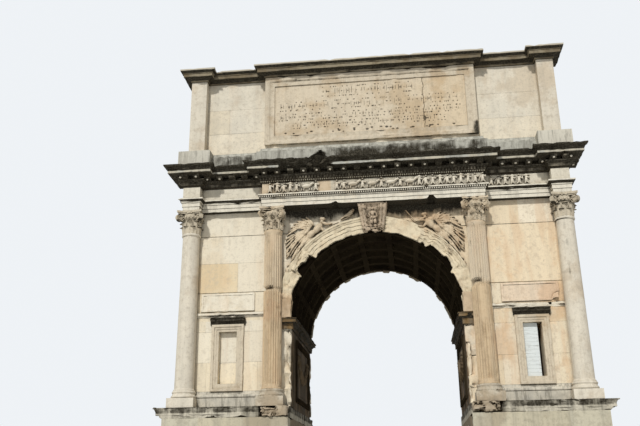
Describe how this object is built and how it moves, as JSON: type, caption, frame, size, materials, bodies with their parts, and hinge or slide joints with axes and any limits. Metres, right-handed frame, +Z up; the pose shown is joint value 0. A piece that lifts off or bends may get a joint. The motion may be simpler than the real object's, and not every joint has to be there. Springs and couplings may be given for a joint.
{
  "type": "triumphal arch",
  "caption": "Single-bay stone triumphal arch with engaged composite columns on podiums, a coffered vault, a stepped entablature and an attic with a framed tablet.",
  "frame": {"origin": "middle of the passage at ground level, under the middle of the body's depth", "axes": "+Z up, front towards -Y, +X to the right seen from the front, passage along Y"},
  "size_m": [13.64, 6.91, 15.4],
  "materials": {
    "cream_marble": "weathered cream ashlar with tight joints, dirt streaks and black crusts under the mouldings",
    "ochre_marble": "weathered fluted stone with peach and ochre staining",
    "smooth_travertine": "smooth restored stone, fine pits",
    "grey_travertine": "plain blocks with grey weathering and vertical streaks",
    "passage_marble": "worn stone of the passage, sooty and sheltered",
    "shutter_paint": "boards painted pale blue-white"
  },
  "bodies": {
    "root": {"architrave": "cream_marble", "attic_base": "grey_travertine", "attic_coping": "grey_travertine", "attic_cornice": "cream_marble", "attic_pilasters": "cream_marble", "attic_wall": "cream_marble", "back_archivolt": "cream_marble", "back_left_corner_shaft": "smooth_travertine", "back_left_fluted_shaft": "ochre_marble", "back_right_corner_shaft": "smooth_travertine", "back_right_fluted_shaft": "ochre_marble", "corner_capitals": "cream_marble", "corner_column_bases": "cream_marble", "cornice": "cream_marble", "cornice_bed": "cream_marble", "frieze": "cream_marble", "front_archivolt": "cream_marble", "front_left_corner_shaft": "smooth_travertine", "front_left_fluted_shaft": "ochre_marble", "front_right_corner_shaft": "smooth_travertine", "front_right_fluted_shaft": "ochre_marble", "inner_capitals": "ochre_marble", "inner_column_bases": "ochre_marble", "keystones": "cream_marble", "left_impost": "passage_marble", "left_pier_wall": "cream_marble", "left_podium_base": "grey_travertine", "left_podium_cap": "grey_travertine", "left_podium_wall": "grey_travertine", "left_spandrel_wall": "cream_marble", "left_wall_base": "cream_marble", "modillions": "cream_marble", "passage_panels": "passage_marble", "right_impost": "passage_marble", "right_pier_wall": "cream_marble", "right_podium_base": "grey_travertine", "right_podium_cap": "grey_travertine", "right_podium_wall": "grey_travertine", "right_spandrel_wall": "cream_marble", "right_wall_base": "cream_marble", "string_courses": "cream_marble", "tablet_frames": "cream_marble", "vault": "passage_marble", "vault_coffers": "passage_marble", "window_frames": "cream_marble", "window_hoods": "cream_marble", "window_shutter": "shutter_paint"}
  },
  "joints": []
}
